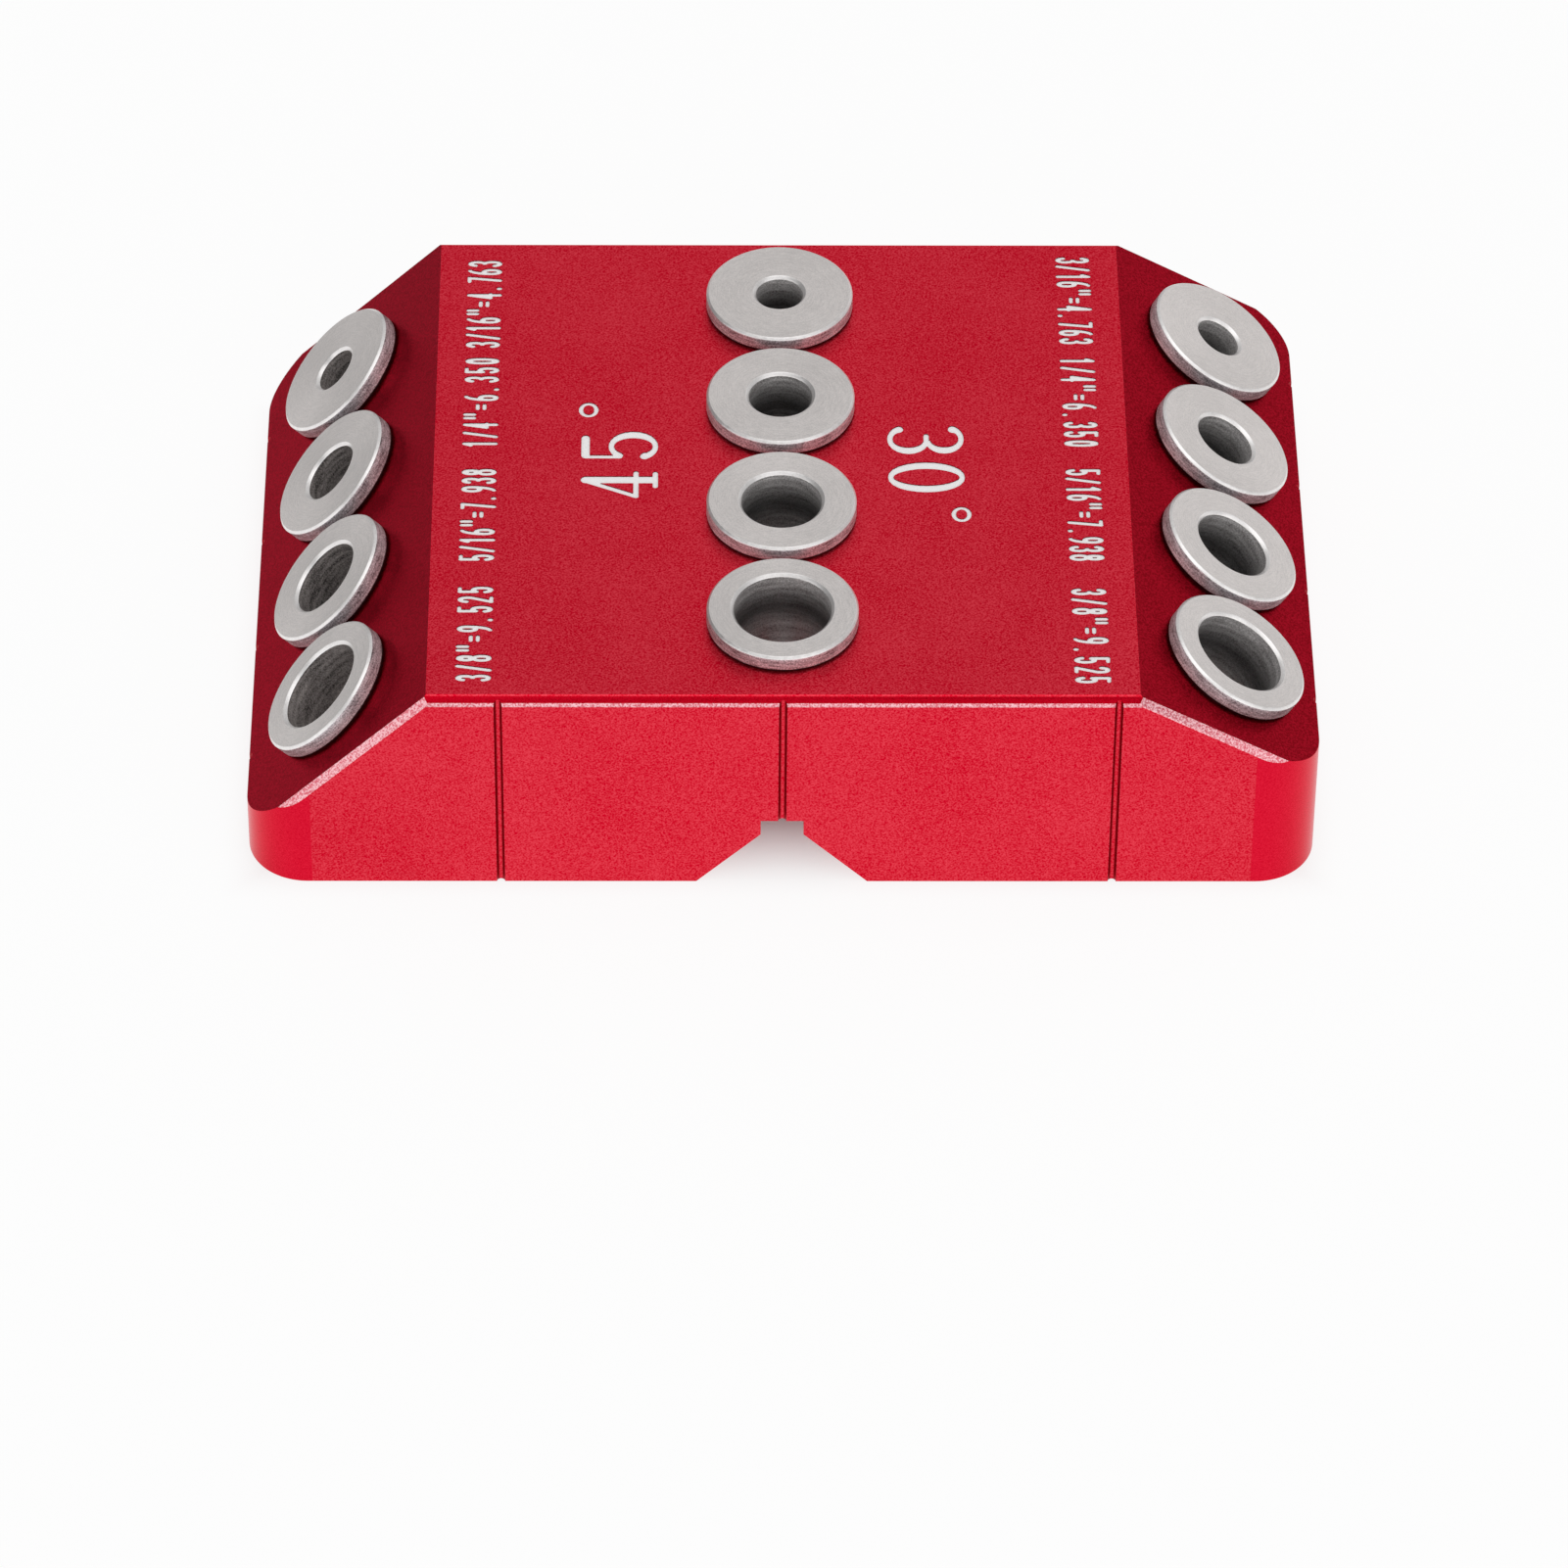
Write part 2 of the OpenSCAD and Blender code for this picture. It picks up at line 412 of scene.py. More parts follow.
# Each number is drawn in a box one wide and one high, as smooth strokes of one pen
SIZE_NUMBERS = {
    "0": [arc(0.5, 0.5, 0.5, 0.5, 0, 360)],
    "1": [line(0.2, 0.8, 0.6, 1), line(0.6, 1, 0.6, 0)],
    "2": [arc(0.5, 0.73, 0.5, 0.27, 170, -20), line(0.97, 0.64, 0, 0), line(0, 0, 1, 0)],
    "3": [arc(0.5, 0.75, 0.46, 0.25, 165, -80), arc(0.5, 0.27, 0.5, 0.27, 80, -165)],
    "4": [line(0.72, 0, 0.72, 1), line(0.72, 1, 0, 0.3), line(0, 0.3, 1, 0.3)],
    "5": [line(0.92, 1, 0.08, 1), line(0.08, 1, 0.08, 0.5), arc(0.5, 0.3, 0.5, 0.3, 145, -160)],
    "6": [arc(0.5, 0.28, 0.5, 0.28, 0, 360), arc(0.95, 0.28, 0.95, 0.72, 180, 100)],
    "7": [line(0, 1, 1, 1), line(1, 1, 0.35, 0)],
    "8": [arc(0.5, 0.75, 0.42, 0.25, 0, 360), arc(0.5, 0.26, 0.5, 0.26, 0, 360)],
    "9": [arc(0.5, 0.72, 0.5, 0.28, 0, 360), arc(0.05, 0.72, 0.95, 0.72, 0, -80)],
    "/": [line(0, 0, 1, 1)],
    "=": [line(0, 0.39, 1, 0.39), line(0, 0.61, 1, 0.61)],
    ".": [line(0.3, 0, 0.3, 0.03)],
    '"': [line(0.05, 0.72, 0.05, 1), line(0.95, 0.72, 0.95, 1)],
    " ": [],
}
ANGLE_NUMBERS = {
    "0": [arc(0.5, 0.5, 0.5, 0.5, 0, 360)],
    "3": [
        arc(0.48, 0.76, 0.5, 0.24, 150, -75), arc(0.5, 0.26, 0.5, 0.26, 75, -150),
        line(0.35, 0.51, 0.6, 0.51), line(0.09, 0.88, 0.11, 0.89, 0.7),
        line(0.09, 0.13, 0.11, 0.12, 0.7),
    ],
    "4": [
        line(0.7, 0.04, 0.7, 0.97), line(0.68, 1, 0, 0.27, 0.1), line(0, 0.27, 1, 0.27),
        line(0.42, 0, 0.98, 0),
    ],
    "5": [
        line(0.86, 0.98, 0.1, 0.98, 0.6), line(0.05, 0.98, 0.05, 0.5, 0),
        arc(0.5, 0.31, 0.5, 0.31, 140, -150), line(0.1, 0.15, 0.12, 0.14, 0.7),
    ],
}
RING = {"°": [arc(0.5, 0.5, 0.5, 0.5, 0, 360)]}


def engrave(strokes, text, numbers, start, along, height, width, length, thick, thin):
    """Adds the strokes of a line of numbers, spread over a length from a point along a direction."""
    upward = Vector((-along.y, along.x))
    for place, sign in enumerate(text):
        shift = place * (length - width) / max(1, len(text) - 1)
        corner = Vector(start) + shift * along
        for drawn, weight in numbers[sign]:
            flat = []
            for x, y in drawn:
                across = thick / 2 + x * (width - thick)
                above = thin / 2 + y * (height - thin)
                flat.append(corner + along * across + upward * above)
            closed = (flat[0] - flat[-1]).length < join_gap
            strokes.append((flat[:-1] if closed else flat, closed, weight, upward, thick, thin))


def pen_patches(flat, closed, weight, upward, thick, thin):
    """What the pen covers along one stroke: two triangles for each step, and its round ends."""
    patches = []
    edges = []
    last = len(flat) - 1
    for index, point in enumerate(flat):
        before = flat[index - 1] if closed or index else point
        after = flat[(index + 1) % len(flat)] if closed or index < last else point
        onward = (after - before).normalized()
        share = onward.dot(upward) ** 2 if weight is None else weight
        half = (thin + (thick - thin) * share) / 2
        aside = half * Vector((-onward.y, onward.x))
        edges.append((point - aside, point + aside))
        if not closed and index in (0, last):
            turns = [math.tau * step / end_steps for step in range(end_steps)]
            patches.append([point + half * Vector((math.cos(turn), math.sin(turn))) for turn in turns])
    steps = list(zip(edges, edges[1:] + edges[:1]))
    for (right, left), (next_right, next_left) in steps if closed else steps[:-1]:
        patches += [[right, next_right, next_left], [right, next_left, left]]
    return patches


def laser_pass(strokes, low, high):
    """One cutter over all that the pen covers, between two heights."""
    corners, patches = [], []
    for stroke in strokes:
        for patch in pen_patches(*stroke):
            anticlockwise = (patch[1] - patch[0]).cross(patch[2] - patch[1]) > 0
            patches.append(list(range(len(corners), len(corners) + len(patch))))
            corners += patch if anticlockwise else patch[::-1]
    all_inside = 1
    points, _, pieces, _, _, owners = delaunay_2d_cdt(corners, [], patches, all_inside, weld_distance)
    covered = [piece for piece, patch in zip(pieces, owners) if patch]
    cutter = bmesh.new()
    floor = [cutter.verts.new((point.x, point.y, low)) for point in points]
    roof = [cutter.verts.new((point.x, point.y, high)) for point in points]
    for patch in covered:
        cutter.faces.new([roof[corner] for corner in patch])
        cutter.faces.new([floor[corner] for corner in reversed(patch)])
    sides = {side for patch in covered for side in zip(patch, patch[1:] + patch[:1])}
    for start, end in sides:
        if (end, start) not in sides:
            wall = cutter.faces.new([floor[start], floor[end], roof[end], roof[start]])
            wall.material_index = CUT_WALL
    bmesh.ops.delete(cutter, geom=[corner for corner in cutter.verts if not corner.link_faces])
    return cutter


NORTH, SOUTH = Vector((0, 1)), Vector((0, -1))
small = dict(
    numbers=SIZE_NUMBERS, height=3.5 * MM, width=1.08 * MM, length=13.9 * MM,
    thick=0.48 * MM, thin=0.4 * MM,
)
large = dict(
    numbers=ANGLE_NUMBERS, height=7.65 * MM, width=4.6 * MM, length=10.4 * MM,
    thick=1.06 * MM, thin=0.54 * MM,
)
ring = dict(
    numbers=RING, height=2.0 * MM, width=2.3 * MM, length=2.3 * MM,
    thick=0.45 * MM, thin=0.45 * MM,
)
start_45 = (-12.2 * MM, -5.5 * MM)
start_30 = (10.6 * MM, 6.05 * MM)
ring_start_45 = (-18.18 * MM, 7.03 * MM)
ring_start_30 = (16.78 * MM, -6.5 * MM)
small_column = 28.2 * MM
sizes = ('3/8"=9.525', '5/16"=7.938', '1/4"=6.350', '3/16"=4.763')
left_starts = (-32.3, -14.7, 2.4, 17.8)
right_starts = (-18.6, -0.7, 16.5, 32.4)
strokes = []
for text, left_start, right_start in zip(sizes, left_starts, right_starts):
    engrave(strokes, text, start=(-small_column, left_start * MM), along=NORTH, **small)
    engrave(strokes, text, start=(small_column, right_start * MM), along=SOUTH, **small)
engrave(strokes, "45", start=start_45, along=NORTH, **large)
engrave(strokes, "30", start=start_30, along=SOUTH, **large)
engrave(strokes, "°", start=ring_start_45, along=NORTH, **ring)
engrave(strokes, "°", start=ring_start_30, along=SOUTH, **ring)

burnt_grain = 0.12 * MM
bare_metal = metal(
    "bared_aluminium", dark=(0.95, 0.92, 0.92), light=(1.0, 1.0, 1.0), grain=burnt_grain,
    roughness=0.6, metallic=0.0,
)
# The walls of the engraving are a dark red of painted shade round each number.
engraving_wall_painted_shade = metal(
    "engraving_wall_painted_shade", dark=(0.1, 0.0, 0.006), light=(0.2, 0.008, 0.016), grain=burnt_grain, roughness=0.6
)
laser_cutter = laser_pass(strokes, block_height - engraved_depth, block_height + overrun)
cutters = [
    solid("vee_cutter", vee_cutter(), [red_body]),
    solid("seat_drills", seat_drills(), [red_milled]),
    solid("mark_cutters", mark_cutters(), [red_body, red_shaded]),
    solid("number_cutter", laser_cutter, [bare_metal, engraving_wall_painted_shade]),
]

# The block takes its cuts, and its edges are eased first, so the cuts stay crisp
rough_block = solid("rough_block", billet, block_finishes)
eased = rough_block.modifiers.new("eased edges", "BEVEL")
eased.width = eased_width
eased.segments = eased_steps
eased.limit_method = "ANGLE"
eased.angle_limit = eased_turn
for cutter in cutters:
    cut = rough_block.modifiers.new(cutter.name, "BOOLEAN")
    cut.object = cutter
    cut.operation = "DIFFERENCE"
    cut.solver = "EXACT"
    cut.material_mode = "TRANSFER"


def finished(name, rough, sharp_angle=32):
    """A plain mesh of an object, with crisp edges where it turns sharply and flats kept flat."""
    ready = rough.evaluated_get(bpy.context.evaluated_depsgraph_get())
    mesh = bpy.data.meshes.new_from_object(ready)
    shape = bmesh.new()
    shape.from_mesh(mesh)
    bmesh.ops.remove_doubles(shape, verts=shape.verts, dist=seam_gap)
    for face in shape.faces:
        face.smooth = True
    for edge in shape.edges:
        edge.smooth = edge.calc_face_angle(math.pi) < math.radians(sharp_angle)
    shape.to_mesh(mesh)
    shape.free()
    made = bpy.data.objects.new(name, mesh)
    bpy.context.scene.collection.objects.link(made)
    weighted = made.modifiers.new("flats", "WEIGHTED_NORMAL")
    weighted.keep_sharp = True
    ready = made.evaluated_get(bpy.context.evaluated_depsgraph_get())
    made.data = bpy.data.meshes.new_from_object(ready)
    made.modifiers.clear()
    return made


guide_block = finished("red_block", rough_block)
for spent in (rough_block, *cutters):
    bpy.data.objects.remove(spent)
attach(guide_block, "root")
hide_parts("guide_block")

# Guide bushes
# Twelve flanged bushes of hardened steel, turned on a lathe, with the flange's face ground,
# its rim left from the tool, a fine undercut at its foot and the bore reamed. Each is pressed
# into its seat until the flange lies on the block.
body_diameter = 12.025 * MM
rim_chamfer = 0.24 * MM
lip_chamfer = 0.3 * MM
foot_chamfer = 0.5 * MM
undercut_height = 0.3 * MM
undercut_depth = 0.1 * MM
edge_round = 0.05 * MM
edge_steps = 2
turn_steps = 128
square_on = 0.97
leaning = 0.1
flange_low, flange_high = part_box("bushing_straight_3_8in")
flange_diameter = flange_high.x - flange_low.x
flange_thickness = flange_high.z - block_height
body_length = block_height - flange_low.z


def run_tree(carrier, tree, settings):
    """Runs a node tree on an object with the given inputs, and returns the plain mesh that it makes."""
    modifier = carrier.modifiers.new(tree.name, "NODES")
    modifier.node_group = tree
    for socket in tree.interface.items_tree:
        if socket.name in settings:
            modifier[socket.identifier] = settings[socket.name]
    ready = carrier.evaluated_get(bpy.context.evaluated_depsgraph_get())
    mesh = bpy.data.meshes.new_from_object(ready)
    carrier.modifiers.remove(modifier)
    return mesh


def turned_bush_tree():
    """A flanged bush turned from its section, and set square into a face at its seat."""
    sizes = (
        "Bore", "Body", "Flange", "Flange Thickness", "Body Length", "Rim Chamfer",
        "Lip Chamfer", "Foot Chamfer", "Undercut Height", "Undercut Depth", "Edge Round",
    )
    finishes = ("Ground", "Chamfered", "Turned", "Undercut", "Reamed")
    inputs = {name: "NodeSocketFloat" for name in sizes}
    inputs |= {"Seat": "NodeSocketVector", "Axis": "NodeSocketVector"}
    inputs |= {name: "NodeSocketMaterial" for name in finishes}
    tree, given, result = new_group(
        "turned bush", "GeometryNodeTree", inputs, {"Bush": "NodeSocketGeometry"}
    )
    tree.is_modifier = True
    bore, body, flange = (
        reckon(tree, "MULTIPLY", given[name], 0.5) for name in ("Bore", "Body", "Flange")
    )
    thickness, length = given["Flange Thickness"], given["Body Length"]
    rim, lip, foot = given["Rim Chamfer"], given["Lip Chamfer"], given["Foot Chamfer"]
    down = reckon(tree, "MULTIPLY", length, -1.0)
    # The section's corners, by radius and height, from the mouth of the bore outwards
    section = [
        (bore, reckon(tree, "SUBTRACT", thickness, lip)),
        (reckon(tree, "ADD", bore, lip), thickness),
        (reckon(tree, "SUBTRACT", flange, rim), thickness),
        (flange, reckon(tree, "SUBTRACT", thickness, rim)),
        (flange, given["Undercut Height"]),
        (reckon(tree, "SUBTRACT", flange, given["Undercut Depth"]), 0.0),
        (body, 0.0),
        (body, reckon(tree, "ADD", down, foot)),
        (reckon(tree, "SUBTRACT", body, foot), down),
        (bore, down),
    ]
    numbered = wire(tree, "GeometryNodeInputIndex").outputs[0]
    corner = wire(tree, "GeometryNodeIndexSwitch", {0: numbered}, data_type="VECTOR")
    while len(corner.index_switch_items) < len(section):
        corner.index_switch_items.new()
    for index, (radius, height) in enumerate(section):
        across = reckon(tree, "SUBTRACT", radius, body)
        below = reckon(tree, "MULTIPLY", height, -1.0)
        point = wire(tree, "ShaderNodeCombineXYZ", {"X": across, "Y": below})
        tree.links.new(point.outputs[0], corner.inputs[index + 1])
    points = wire(tree, "GeometryNodeMeshLine", {"Count": len(section)})
    drawn = wire(tree, "GeometryNodeSetPosition", {
        "Geometry": points.outputs[0], "Position": corner.outputs[0],
    })
    outline = wire(tree, "GeometryNodeMeshToCurve", {0: drawn.outputs[0]})
    closed = wire(tree, "GeometryNodeSetSplineCyclic", {"Geometry": outline.outputs[0], "Cyclic": True})
    rounded = wire(tree, "GeometryNodeFilletCurve", {
        "Curve": closed.outputs[0], "Count": edge_steps, "Radius": given["Edge Round"],
        "Limit Radius": True,
    }, mode="POLY")
    turn = wire(tree, "GeometryNodeCurvePrimitiveCircle", {"Resolution": turn_steps, "Radius": body})
    turned = wire(tree, "GeometryNodeCurveToMesh", {
        "Curve": turn.outputs[0], "Profile Curve": rounded.outputs[0],
    })
    where = wire(tree, "GeometryNodeInputPosition").outputs[0]
    marked = wire(tree, "GeometryNodeStoreNamedAttribute", {
        "Geometry": turned.outputs[0], "Name": "spindle", "Value": where,
    }, data_type="FLOAT_VECTOR", domain="POINT")
    level = wire(tree, "ShaderNodeVectorMath", {0: where, 1: (1, 1, 0)}, operation="MULTIPLY").outputs[0]
    away = wire(tree, "ShaderNodeVectorMath", {0: level}, operation="NORMALIZE").outputs[0]
    facing = wire(tree, "GeometryNodeInputNormal").outputs[0]
    outward = wire(
        tree, "ShaderNodeVectorMath", {0: away, 1: facing}, operation="DOT_PRODUCT"
    ).outputs["Value"]
    rising = wire(tree, "ShaderNodeSeparateXYZ", {0: facing}).outputs["Z"]
    # Each finish goes where the surface faces its way, and a later one covers an earlier one
    leans = reckon(tree, "GREATER_THAN", reckon(tree, "ABSOLUTE", outward), leaning)
    kinds = {
        "Chamfered": leans,
        "Turned": reckon(tree, "GREATER_THAN", outward, square_on),
        "Undercut": reckon(tree, "MULTIPLY", leans, reckon(tree, "LESS_THAN", rising, -leaning)),
        "Reamed": reckon(tree, "LESS_THAN", outward, -square_on),
    }
    skinned = wire(tree, "GeometryNodeSetMaterial", {
        "Geometry": marked.outputs[0], "Material": given["Ground"],
    })
    for kind, chosen in kinds.items():
        skinned = wire(tree, "GeometryNodeSetMaterial", {
            "Geometry": skinned.outputs[0], "Selection": chosen, "Material": given[kind],
        })
    tilt = wire(tree, "FunctionNodeAlignRotationToVector", {"Vector": given["Axis"]}, axis="Z")
    around = wire(tree, "ShaderNodeVectorMath", {0: (0, 0, 1), 1: away}, operation="CROSS_PRODUCT")
    turned_way = wire(tree, "FunctionNodeRotateVector", {
        "Vector": around.outputs[0], "Rotation": tilt.outputs[0],
    })
    combed = wire(tree, "GeometryNodeStoreNamedAttribute", {
        "Geometry": skinned.outputs[0], "Name": "lay", "Value": turned_way.outputs[0],
    }, data_type="FLOAT_VECTOR", domain="POINT")
    pressed = wire(tree, "GeometryNodeTransform", {
        "Geometry": combed.outputs[0], "Translation": given["Seat"], "Rotation": tilt.outputs[0],
    })
    realized = wire(tree, "GeometryNodeRealizeInstances", {"Geometry": pressed.outputs[0]})
    tree.links.new(realized.outputs[0], result.inputs["Bush"])
    return tree


across_lay = 0.25
streak_wander = 0.12
streak_contrast = 2.5
streak_share = 0.5
steel_grain = 0.15 * MM
steel_contrast = 3.0
streak_shine = 0.12
painted_shade_depth = 4 * MM
painted_light_depth = 1.2 * painted_shade_depth
painted_deep_light = 0.6


def turned_steel(
    name, dark, light, ring, roughness,
    groove=0.2, brushed=0.0, metallic=1.0, painted_bore_shade=0.0, clouding=1.2,
):
    """Steel with the fine rings that a tool leaves round a bush's axis, with painted shade down the bore
    and painted light deeper in it.
    """
    made = bpy.data.materials.new(name)
    made.use_nodes = True
    tree = made.node_tree
    tree.nodes.clear()
    spindle = wire(tree, "ShaderNodeAttribute", attribute_name="spindle").outputs["Vector"]
    lay = wire(tree, "ShaderNodeAttribute", attribute_name="lay").outputs["Vector"]
    parts = wire(tree, "ShaderNodeSeparateXYZ", {"Vector": spindle})
    flat = wire(tree, "ShaderNodeCombineXYZ", {"X": parts.outputs["X"], "Y": parts.outputs["Y"]})
    radius = wire(
        tree, "ShaderNodeVectorMath", {0: flat.outputs[0]}, operation="LENGTH"
    ).outputs["Value"]
    wander = wire(
        tree, "ShaderNodeVectorMath", {0: flat.outputs[0], "Scale": streak_wander}, operation="SCALE"
    )
    level = wire(tree, "ShaderNodeCombineXYZ", {"Z": reckon(tree, "ADD", radius, parts.outputs["Z"])})
    along_rings = wire(
        tree, "ShaderNodeVectorMath", {0: wander.outputs[0], 1: level.outputs[0]}, operation="ADD"
    )
    rings = wire(tree, "ShaderNodeTexNoise", {
        "Vector": along_rings.outputs[0], "Scale": 1 / ring, "Detail": 3.0,
    })
    place = wire(tree, "ShaderNodeTexCoord").outputs["Object"]
    grain = wire(tree, "ShaderNodeGroup", {
        "Coordinates": place, "Grain": steel_grain, "Contrast": steel_contrast, "Clouding": clouding,
    }, node_tree=blasted_grain)
    centred = reckon(tree, "SUBTRACT", rings.outputs[0], 0.5)
    streak = reckon(tree, "MULTIPLY_ADD", centred, streak_contrast, 0.5)
    streaked = reckon(tree, "MULTIPLY", streak, streak_share)
    mixed = reckon(tree, "MULTIPLY_ADD", grain.outputs["Tone"], 1 - streak_share, streaked)
    # Painted shade darkens the colour down the bore, and painted light lifts it again deeper down.
    painted_shade_end = flange_thickness - painted_shade_depth
    painted_shade_ramp = wire(tree, "ShaderNodeMapRange", {
        "Value": parts.outputs["Z"], "From Min": flange_thickness, "From Max": painted_shade_end,
        "To Min": 0.0, "To Max": painted_bore_shade,
    }, interpolation_type="SMOOTHSTEP")
    painted_light_ramp = wire(tree, "ShaderNodeMapRange", {
        "Value": parts.outputs["Z"], "From Min": painted_shade_end, "From Max": -painted_light_depth,
        "To Min": 0.0, "To Max": painted_deep_light,
    }, interpolation_type="SMOOTHSTEP")
    down = reckon(tree, "ADD", reckon(tree, "SUBTRACT", 1.0, painted_shade_ramp.outputs[0]), painted_light_ramp.outputs[0])
    colour = wire(tree, "ShaderNodeVectorMath", {
        0: tint(tree, mixed, dark, light), "Scale": down,
    }, operation="SCALE")
    relief = wire(tree, "ShaderNodeBump", {
        "Height": rings.outputs[0], "Strength": groove, "Distance": relief_depth,
    })
    skin = wire(tree, "ShaderNodeBsdfPrincipled", {
        "Base Color": colour.outputs[0], "Metallic": metallic,
        "Roughness": reckon(tree, "MULTIPLY_ADD", mixed, streak_shine, roughness - streak_shine / 2),
        "Anisotropic": brushed, "Anisotropic Rotation": across_lay, "Tangent": lay,
        "Normal": relief.outputs[0],
    })
    wire(tree, "ShaderNodeOutputMaterial", {"Surface": skin.outputs[0]})
    return made


ground_ring = 0.12 * MM
chamfer_ring = 0.08 * MM
rim_ring = 0.22 * MM
undercut_ring = 0.15 * MM
bore_ring = 0.45 * MM
ground_steel = turned_steel(
    "ground_steel", dark=(0.66, 0.625, 0.61), light=(0.9, 0.85, 0.83), ring=ground_ring,
    roughness=0.36, brushed=0.3, clouding=2.5,
)
chamfered_steel = turned_steel(
    "chamfered_steel", dark=(0.78, 0.75, 0.74), light=(0.95, 0.93, 0.92), ring=chamfer_ring,
    roughness=0.4,
)
walled_steel = turned_steel(
    "walled_steel", dark=(0.08, 0.07, 0.075), light=(1.0, 0.97, 1.0), ring=rim_ring,
    roughness=0.4, metallic=0.5,
)
shadowed_steel = turned_steel(
    "shadowed_steel", dark=(0.02, 0.008, 0.008), light=(0.1, 0.05, 0.05), ring=undercut_ring,
    roughness=0.6,
)
# Down the bore this steel is darkened by painted shade, and deeper still lightened by painted light.
reamed_steel = turned_steel(
    "reamed_steel", dark=(0.22, 0.2, 0.195), light=(0.98, 0.95, 0.94), ring=bore_ring,
    roughness=0.42, groove=0.8, metallic=0.45, painted_bore_shade=0.82,
)
# A darker copy of the bore steel for the 45 degree bores, painted shade; the painted light deep down
# still lifts it.
shaded_bore_steel = turned_steel(
    "shaded_bore_steel", dark=(0.02, 0.016, 0.015), light=(0.62, 0.56, 0.54), ring=bore_ring,
    roughness=0.45, groove=0.8, metallic=0.45,
)
shared_sizes = {
    "Body": body_diameter, "Flange": flange_diameter, "Flange Thickness": flange_thickness,
    "Body Length": body_length, "Rim Chamfer": rim_chamfer, "Lip Chamfer": lip_chamfer,
    "Foot Chamfer": foot_chamfer, "Undercut Height": undercut_height,
    "Undercut Depth": undercut_depth, "Edge Round": edge_round,
}
shared_finishes = {
    "Ground": ground_steel, "Chamfered": chamfered_steel, "Turned": walled_steel,
    "Undercut": shadowed_steel,
}
turned_bush = turned_bush_tree()
for face in FACES:
    for row in ROWS:
        bore = f"bore_{face}_{row}"
        blank = bpy.data.objects.new("blank", bpy.data.meshes.new("blank"))
        bpy.context.scene.collection.objects.link(blank)
        blank.data = run_tree(blank, turned_bush, shared_sizes | shared_finishes | {
            "Bore": 2 * mounts[bore]["dims"]["r_mm"] * MM, "Seat": seat[bore], "Axis": square[bore],
            "Reamed": shaded_bore_steel if face == "45deg" else reamed_steel,
        })
        bush = finished(f"bush_{face}_{row}", blank, sharp_angle=50)
        bpy.data.objects.remove(blank)
        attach(bush, "root")
        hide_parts(f"bushing_{face}_{row}")

# Studio
# A plain pale floor, clear from below, under soft light from above and low in front, and a
# long lens that looks down on the block as the photograph does.
floor_half = 3.0
floor_gap = 0.02 * MM
deep_shade = 12 * MM
soft_shade = 3 * MM
glow_near = 0.2
glow_far = 0.8
glow_share = 0.92
floor_corners = [
    (x * floor_half, y * floor_half, -floor_gap) for x, y in ((-1, -1), (1, -1), (1, 1), (-1, 1))
]
floor_mesh = bpy.data.meshes.new("floor")
floor_mesh.from_pydata(floor_corners, [], [(0, 1, 2, 3)])
floor = bpy.data.objects.new("floor", floor_mesh)
bpy.context.scene.collection.objects.link(floor)


def pale_floor_finish():
    """Matt white that also glows to the eye round the block, but not under it or far away."""
    made = bpy.data.materials.new("pale_floor")
    made.use_nodes = True
    tree = made.node_tree
    tree.nodes.clear()
    place = wire(tree, "ShaderNodeTexCoord").outputs["Object"]
    size = wire(tree, "ShaderNodeVectorMath", {0: place}, operation="ABSOLUTE").outputs[0]
    half_block = (block_width / 2, block_depth / 2, 0)
    beyond = wire(tree, "ShaderNodeVectorMath", {0: size, 1: half_block}, operation="SUBTRACT")
    sides = wire(tree, "ShaderNodeSeparateXYZ", {0: beyond.outputs[0]})
    clear = reckon(tree, "MAXIMUM", sides.outputs["X"], sides.outputs["Y"])
    outside = wire(tree, "ShaderNodeMapRange", {
        "Value": clear, "From Min": -deep_shade, "From Max": soft_shade,
    }, interpolation_type="SMOOTHSTEP").outputs[0]
    away = wire(tree, "ShaderNodeVectorMath", {0: place}, operation="LENGTH").outputs["Value"]
    near = wire(tree, "ShaderNodeMapRange", {
        "Value": away, "From Min": glow_near, "From Max": glow_far, "To Min": glow_share, "To Max": 0.0,
    }, interpolation_type="SMOOTHSTEP").outputs[0]
    ray = wire(tree, "ShaderNodeLightPath").outputs
    mirrored = reckon(tree, "MAXIMUM", ray["Is Glossy Ray"], ray["Is Transmission Ray"])
    seen = reckon(tree, "MAXIMUM", ray["Is Camera Ray"], mirrored)
    glow = reckon(tree, "MULTIPLY", seen, reckon(tree, "MULTIPLY", outside, near))
    lit = wire(tree, "ShaderNodeBsdfPrincipled", {"Base Color": (0.93, 0.93, 0.93, 1), "Roughness": 0.8})
    white = wire(tree, "ShaderNodeEmission", {"Color": (1, 1, 1, 1), "Strength": 1.0})
    shown = wire(tree, "ShaderNodeMixShader", {0: glow, 1: lit.outputs[0], 2: white.outputs[0]})
    clear_glass = wire(tree, "ShaderNodeBsdfTransparent")
    from_below = wire(tree, "ShaderNodeNewGeometry").outputs["Backfacing"]
    sheet = wire(tree, "ShaderNodeMixShader", {
        0: from_below, 1: shown.outputs[0], 2: clear_glass.outputs[0],
    })
    wire(tree, "ShaderNodeOutputMaterial", {"Surface": sheet.outputs[0]})
    return made


pale = pale_floor_finish()
floor_mesh.materials.append(pale)


def softbox(name, place, wide, high, brightness):
    """A rectangular lamp that faces the block, as bright as a plain surface of that value."""
    lamp = bpy.data.lights.new(name, "AREA")
    lamp.shape = "RECTANGLE"
    lamp.size, lamp.size_y = wide, high
    lamp.energy = math.pi * wide * high * brightness
    made = bpy.data.objects.new(name, lamp)
    made.location = place
    made.rotation_euler = (-Vector(place)).to_track_quat("-Z", "Y").to_euler()
    made.visible_camera = False
    bpy.context.scene.collection.objects.link(made)


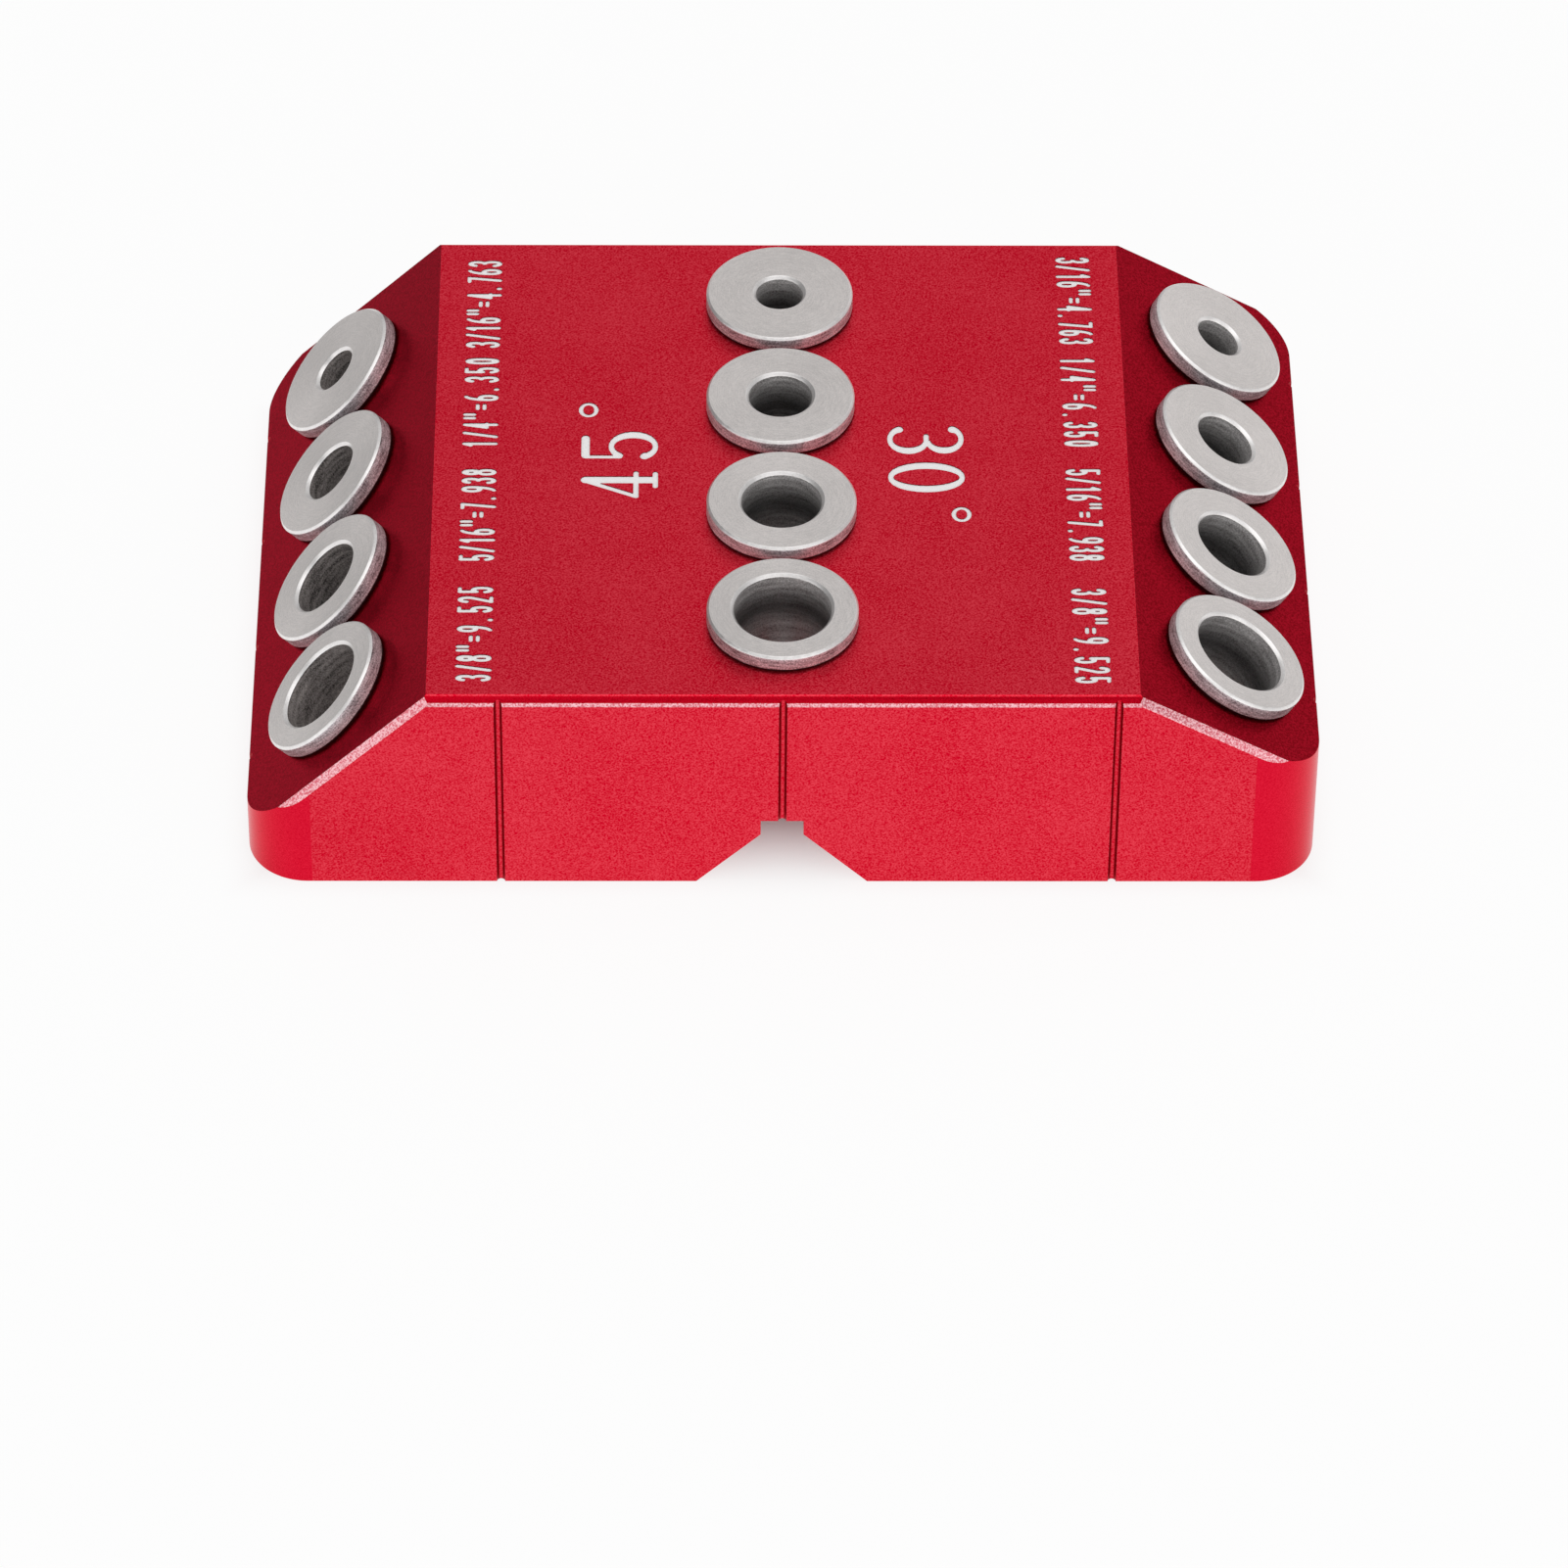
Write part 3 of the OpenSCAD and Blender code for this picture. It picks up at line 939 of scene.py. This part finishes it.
softboxes = {
    "overhead": dict(place=(0, -0.1, 1.2), wide=1.35, high=1.2, brightness=1.04),
    "behind": dict(place=(-0.1, 0.92, 0.76), wide=1.3, high=0.9, brightness=0.27),
    "right_behind": dict(place=(0.7, 0.88, 0.41), wide=0.8, high=0.6, brightness=0.31),
    "front": dict(place=(-0.13, -1.4, 0.45), wide=1.85, high=1.3, brightness=0.8),
    "front_left": dict(place=(-1.15, -0.65, 0.35), wide=1.1, high=0.9, brightness=0.95),
    "front_right": dict(place=(0.95, -0.95, 0.52), wide=1.0, high=1.0, brightness=0.75),
}
for name, setting in softboxes.items():
    softbox(name, **setting)

left_wall = 0.18
right_wall = 0.55
world = bpy.data.worlds.new("studio")
world.use_nodes = True
sky = world.node_tree
sky.nodes.clear()
direction = wire(sky, "ShaderNodeTexCoord").outputs["Generated"]
heading = wire(sky, "ShaderNodeSeparateXYZ", {0: direction})
wall = wire(sky, "ShaderNodeMapRange", {
    "Value": heading.outputs["X"], "From Min": -1.0, "From Max": 1.0,
    "To Min": left_wall, "To Max": right_wall,
})
glow = wire(sky, "ShaderNodeBackground", {"Color": wall.outputs[0], "Strength": 1.0})
wire(sky, "ShaderNodeOutputWorld", {"Surface": glow.outputs[0]})
bpy.context.scene.world = world
bpy.context.scene.view_settings.view_transform = "Standard"

camera_target = Vector((0.33, -20.96, 0)) * MM
camera_distance = 849.14 * MM
camera_yaw = math.radians(0.779)
camera_pitch = math.radians(42.857)
camera_roll = math.radians(-0.567)
sensor_width = 36
focal_length = 196.0
lens = bpy.data.cameras.new("photo_camera")
lens.sensor_width = sensor_width
lens.lens = focal_length
camera = bpy.data.objects.new("photo_camera", lens)
look = Vector((
    math.sin(camera_yaw) * math.cos(camera_pitch),
    math.cos(camera_yaw) * math.cos(camera_pitch),
    -math.sin(camera_pitch),
))
aimed = look.to_track_quat("-Z", "Y")
camera.location = camera_target - camera_distance * look
camera.rotation_euler = (aimed.to_matrix() @ Matrix.Rotation(-camera_roll, 3, "Z")).to_euler()
bpy.context.scene.collection.objects.link(camera)
bpy.context.scene.camera = camera
